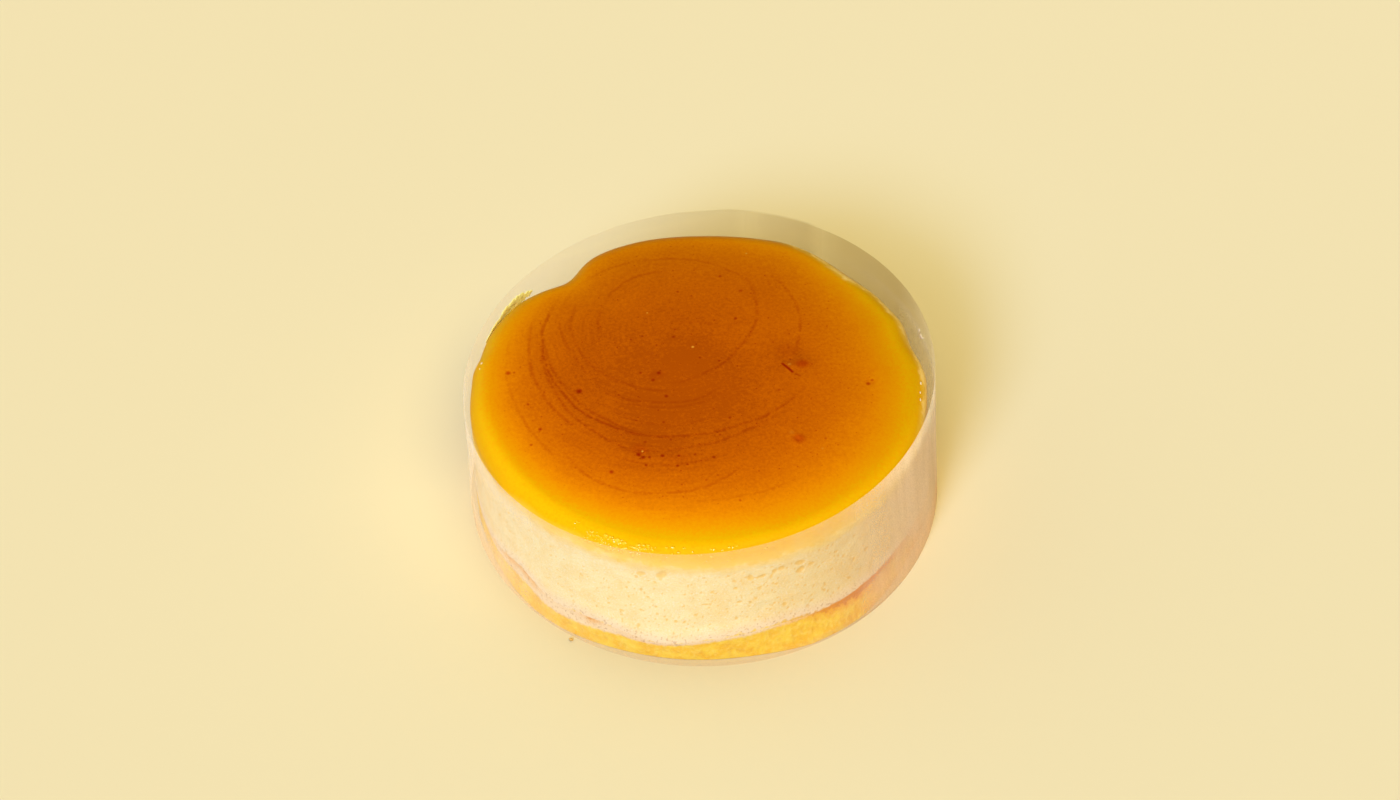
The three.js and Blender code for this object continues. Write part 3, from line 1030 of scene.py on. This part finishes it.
# How hazy the film is: the angle, the share at mid height and at the rim, how much painted shade
# darkens it, and the share over the sponge.
HAZE = [
    (-180, 0.07, 0.13, 0, 0.12), (-160, 0.1, 0.18, 0, 0.2), (-150, 0.09, 0.17, 0, 0.2),
    (-140, 0.06, 0.14, 0, 0.12), (-132, 0.04, 0.12, 0, 0.08),
    (-118, 0.01, 0.1, 0, 0.04), (-90, 0.01, 0.1, 0, 0.02), (-62, 0.01, 0.1, 0, 0.03),
    (-52, 0.06, 0.13, 0, 0.12), (-44, 0.16, 0.18, 0, 0.32), (-30, 0.32, 0.24, 0, 0.38),
    (-5, 0.3, 0.16, 0, 0.3), (10, 0.15, 0.06, 0.3, 0.15), (30, 0.08, 0.02, 1, 0.06),
    (50, 0.05, 0.02, 0.75, 0.06), (60, 0.03, 0.01, 0.3, 0.06), (74, 0.02, 0.01, 0.1, 0.06),
    (80, 0.04, 0.02, 0.3, 0.06), (95, 0.04, 0.03, 0.2, 0.06), (115, 0.04, 0.05, 0, 0.06),
    (150, 0.03, 0.07, 0, 0.06), (180, 0.07, 0.13, 0, 0.12),
]
LEAST_FOOT_HAZE = 0.16
# Where painted shade darkens the film's foot: the angles between which it sets in and fades.
FOOT_LINE = ((-62, -45), (8, 26))
FILM_FADE = 5  # degrees over which each end of the strip thins out


def strip_lift(turn):
    landed = smoothstep(turn, FILM_OVERLAP + LANDING[0], FILM_OVERLAP + LANDING[1])
    return OVERLAP_LIFT * (1 - landed)


def film_haze(angle, height):
    mid, rim, foot = (by_angle(HAZE, angle, column) for column in (1, 2, 4))
    at_rim = smoothstep(height, 38, 42.5)
    at_sponge = 1 - smoothstep(height, 9, 15)
    at_foot = 1 - smoothstep(height, 0.5, 3.5)
    haze = np.maximum(mid * (1 - at_rim) + rim * at_rim, foot * at_sponge)
    return np.maximum(haze, LEAST_FOOT_HAZE * at_foot)


# painted shade and reflection: the film is darker at its back right, for the shadowed floor and
# the crust's dark reflection, and in a line along its foot at the right
def film_painted_shade(angle, height):
    (sets_in, full), (fades, gone) = FOOT_LINE
    around = turn_between(0, angle)
    line = smoothstep(around, sets_in, full) * (1 - smoothstep(around, fades, gone))
    return np.maximum(by_angle(HAZE, angle, 3), line * (1 - smoothstep(height, 0.3, 0.8)))


def make_film(material):
    """One sheet, bent round the cake. It ends under its own start."""
    whole = 360 + FILM_OVERLAP
    turn = np.linspace(0, whole, FILM_COLUMNS + 1)
    turns, heights = (grid.ravel() for grid in np.meshgrid(turn, FILM_ROWS))
    angle = FILM_END + turns
    points = placed(angle, film_radius(angle, heights) + strip_lift(turns), heights)
    width = FILM_COLUMNS + 1
    faces = [(corner, corner + 1, corner + width + 1, corner + width)
             for row in range(len(FILM_ROWS) - 1)
             for corner in range(row * width, row * width + FILM_COLUMNS)]
    # the strip's ends thin out, so that no hard edge shows where it laps over itself
    present = smoothstep(turns, 0, FILM_FADE) * (1 - smoothstep(turns, whole - FILM_FADE, whole))
    facts = {
        "haze": film_haze(angle, heights) * present,
        "shade_tint": film_painted_shade(angle, heights) * present,
        "present": present,
    }
    return mesh_object("film", points, faces, material, facts)


# ---- Small pieces ----

# Beads of glaze at the crust's lower edge: how many, between which angles, how far above the
# side's upper end in millimetres.
BEADS = [(130, (-122, -103), (3.5, 7.5)), (60, (-126, -74), (3, 8))]
# A smear of batter on the film's inside: the angle, the height of its middle, and half its own.
SMEAR = [(137, 40.6, 0.6), (140, 41.2, 1.8), (143, 42, 2.6), (146.5, 42.2, 2.6),
         (150, 41.6, 2.2), (154, 41, 1.4), (158, 40.6, 0.5)]
SMEAR_BLOBS = 130
# Specks on the film's inside: angle, height, half the width, half the height.
SPECKS = [
    (19.1, 41.1, 0.5, 0.6), (17.8, 40, 0.8, 0.95), (16.4, 41, 0.3, 0.35),
    (18.2, 39, 0.5, 0.4),
]
# Bits on the crust's rim: angle, millimetres above the side's upper end, and radius.
RIM_BITS = [
    (168.8, 6.2, 0.3), (170.6, 6, 0.25), (8, 5.2, 0.25), (-2, 5.4, 0.35), (-5.5, 5.8, 0.22),
    (-8, 5.6, 0.3),
]
# A crumb on the table beside the film's foot: its place, the way up, and its half sizes.
FALLEN = ((-43.1, -63.3, 0.55), (0.3, 0.2, 1), 0.7, 0.5, 0.4)
OFF_FILM = 0.25


def surface_point(angle, arc):
    """A point on the crust, that far above the side's upper end, and the way out of it there."""
    slope = 90 * min(arc / SHOULDER_ARC, 1)
    inwards = max(arc - SHOULDER_ARC, 0)
    radius, height = cake_shape(angle, DOME_RADIUS + SHOULDER_RADIUS * cos_deg(slope) - inwards,
                                CRUST_EDGE_HEIGHT + SHOULDER_RADIUS * sin_deg(slope))
    out = (cos_deg(slope) * cos_deg(angle), cos_deg(slope) * sin_deg(angle), sin_deg(slope))
    return (radius * cos_deg(angle), radius * sin_deg(angle), height), out


def film_point(angle, height):
    """A point just inside the film, and the way in."""
    radius = film_radius(angle, height) - OFF_FILM
    place = (radius * cos_deg(angle), radius * sin_deg(angle), height)
    return place, (-cos_deg(angle), -sin_deg(angle), 0)


def blobs(name, places, uneven, colour, roughness, specular=0.1):
    """Small rounded lumps. Each has a place, the way out, half its width, height and thickness."""
    ball = bmesh.new()
    bmesh.ops.create_icosphere(ball, subdivisions=2, radius=1)
    corners = np.array([vertex.co for vertex in ball.verts])
    triangles = np.array([[vertex.index for vertex in face.verts] for face in ball.faces])
    ball.free()
    points, faces = [], []
    for number, (place, out, width, tall, thick) in enumerate(places):
        away = Vector(out).normalized()
        across = away.cross(Vector((0, 0, 1))).normalized()
        rise = across.cross(away)
        lumpy = 1 + uneven * rng.normal(size=(len(corners), 1))
        frame_axes = np.array([across * width, rise * tall, away * thick])
        points.append(np.array(place) + (corners * lumpy) @ frame_axes)
        faces.append(triangles + number * len(corners))
    s = Shader(name)
    material = s.finish(s.surface("Principled", Base_Color=colour, Roughness=roughness,
                                  Specular_IOR_Level=specular))
    return mesh_object(name, np.concatenate(points), np.concatenate(faces).tolist(), material)


def small_pieces():
    """Glaze beads and bits on the crust, smears and specks on the film, and the crumb."""
    beads = []
    for count, angles, arcs in BEADS:
        for _ in range(count):
            size = rng.uniform(0.22, 0.5)
            place, out = surface_point(rng.uniform(*angles), rng.uniform(*arcs))
            beads.append((place, out, size * rng.uniform(1, 1.7), size, size * 0.55))
    bits = []
    for angle, arc, size in RIM_BITS:
        place, out = surface_point(angle, arc)
        bits.append((place, out, size * 1.8, size, size * 0.5))
    smears = []
    for angle in rng.uniform(SMEAR[0][0], SMEAR[-1][0], SMEAR_BLOBS):
        half = by_angle(SMEAR, angle, 2)
        height = by_angle(SMEAR, angle, 1) + half * rng.uniform(-0.7, 0.7)
        size = rng.uniform(0.25, 0.4) * (0.8 + half)
        smears.append((*film_point(angle, height), size * 1.2, size, 0.1))
    bits += [(*film_point(angle, height), wide, tall, 0.2) for angle, height, wide, tall in SPECKS]
    return [
        blobs("glaze_beads", beads, 0.15, GLAZE, 0.1, 0.5),
        blobs("rim_bits", bits, 0.3, BIT_PALE, 0.8),
        blobs("smears", smears, 0.1, SMEAR_YELLOW, 0.6),
        blobs("crumb", [FALLEN], 0.14, CRUMB, 0.9),
    ]


# ---- Stage ----

FLOOR_COLOUR = srgb(240, 224, 174)
FLOOR_HALF = 4  # metres
# Two soft lights: the angle round the cake, the angle up, the width, and the share of the
# light on the floor. The room adds a low glow all round, more of it from the left.
LIGHTS = {
    "key": (-114.3, 33.5, 19.6, (0.194, 0.276, 0.541)),
    "overhead": (-76, 62.8, 46, (0.724, 0.632, 0.393)),
}
# Two more for the film, which stand in for the bright room that shows in it: the angle round
# the cake, the angle up, the width, the strength and the colour.
FILM_LIGHTS = {
    "film_left": (165, 28, 60, 3.2, (0.98, 1, 0.84)),
    "film_right": (-12, 24, 60, 0.75, (1, 0.95, 0.86)),
}
ROUND_GLOW = (0.4, 0.38, 0.3)
LEFT_GLOW = (0.68, 0.72, 0.66)
LEFT = (-0.96, 0.25, 0.1)

FOCAL_PIXELS = 4000
PHOTO_WIDTH = 1400
SENSOR_WIDTH = 36
CAMERA_DISTANCE = 17.4425 * RIM_RADIUS
CAMERA_ELEVATION = 46.77
CAMERA_ROLL = -2.37
CENTRE_IN_PHOTO = (3.8, 83.05)  # pixels that the origin lies right of and below the middle


def make_floor():
    mesh = bpy.data.meshes.new("floor")
    corners = [(-FLOOR_HALF, -FLOOR_HALF, 0), (FLOOR_HALF, -FLOOR_HALF, 0),
               (FLOOR_HALF, FLOOR_HALF, 0), (-FLOOR_HALF, FLOOR_HALF, 0)]
    mesh.from_pydata(corners, [], [(0, 1, 2, 3)])
    mesh.materials.append(make_floor_material())
    floor = add_object("floor", mesh)


def make_lights():
    world = bpy.data.worlds.new("studio")
    bpy.context.scene.world = world
    world.use_nodes = True
    background = world.node_tree.nodes["Background"]
    s = Shader.over(world.node_tree)
    direction = s.node("TexCoord").outputs["Generated"]
    low = s.span(s.axes(direction)[2], 0, 0.42, 1, 0)
    at_left = s.span(s.vector_math("DOT_PRODUCT", direction, LEFT), 0.4, 0.95)
    glow = s.mix(low, BLACK, (*ROUND_GLOW, 1))
    s.put(s.mix(at_left, glow, (*LEFT_GLOW, 1), "ADD"), background.inputs["Color"])
    for name, (turn, rise, width, shares) in LIGHTS.items():
        colour = [share / max(shares) for share in shares]
        make_sun(name, turn, rise, width, max(shares) * math.pi / sin_deg(rise), colour)


def make_sun(name, turn, rise, width, energy, colour):
    light = bpy.data.lights.new(name, "SUN")
    light.color = colour
    light.energy = energy
    light.angle = math.radians(width)
    lamp = add_object(name, light)
    toward = Vector((cos_deg(rise) * cos_deg(turn), cos_deg(rise) * sin_deg(turn), sin_deg(rise)))
    lamp.rotation_euler = toward.to_track_quat("Z", "Y").to_euler()
    return lamp


def light_film(film, smears):
    """The lamps for the film. The smears get the right one only, which shines on their inside."""
    for name, settings in FILM_LIGHTS.items():
        lit = bpy.data.collections.new(name + "_lights")
        lit.objects.link(film)
        if name == "film_right":
            lit.objects.link(smears)
        make_sun(name, *settings).light_linking.receiver_collection = lit


def make_camera():
    """The photo's view: from the front, looking down, turned a little about its own axis."""
    elevation, roll = math.radians(CAMERA_ELEVATION), math.radians(CAMERA_ROLL)
    back = Vector((0, -math.cos(elevation), math.sin(elevation)))
    level_up = Vector((0, math.sin(elevation), math.cos(elevation)))
    level_right = Vector((1, 0, 0))
    right = level_right * math.cos(roll) + level_up * math.sin(roll)
    up = level_up * math.cos(roll) - level_right * math.sin(roll)
    per_pixel = CAMERA_DISTANCE / FOCAL_PIXELS
    place = (back * CAMERA_DISTANCE - right * CENTRE_IN_PHOTO[0] * per_pixel
             + up * CENTRE_IN_PHOTO[1] * per_pixel) * MM
    data = bpy.data.cameras.new("camera")
    data.sensor_width = SENSOR_WIDTH
    data.lens = FOCAL_PIXELS * SENSOR_WIDTH / PHOTO_WIDTH
    data.clip_end = 50
    camera = add_object("camera", data)
    turned = Matrix((right, up, back)).transposed().to_4x4()
    camera.matrix_world = Matrix.Translation(place) @ turned
    bpy.context.scene.camera = camera


# ---- The scene ----

make_camera()
make_floor()
make_lights()
bpy.context.scene.view_settings.view_transform = "Standard"

for piece, node, slot in (
    (make_sponge(make_sponge_material()), "sponge_base", "sponge"),
    (make_cake(make_cheesecake_material()), "cheesecake_body", "cheesecake"),
    (make_film(make_film_material()), "film_collar", "film"),
):
    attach(piece, "root")
    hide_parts(node)

for piece in small_pieces():
    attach(piece, "root")
light_film(bpy.data.objects["film"], bpy.data.objects["smears"])

bpy.context.view_layer.update()
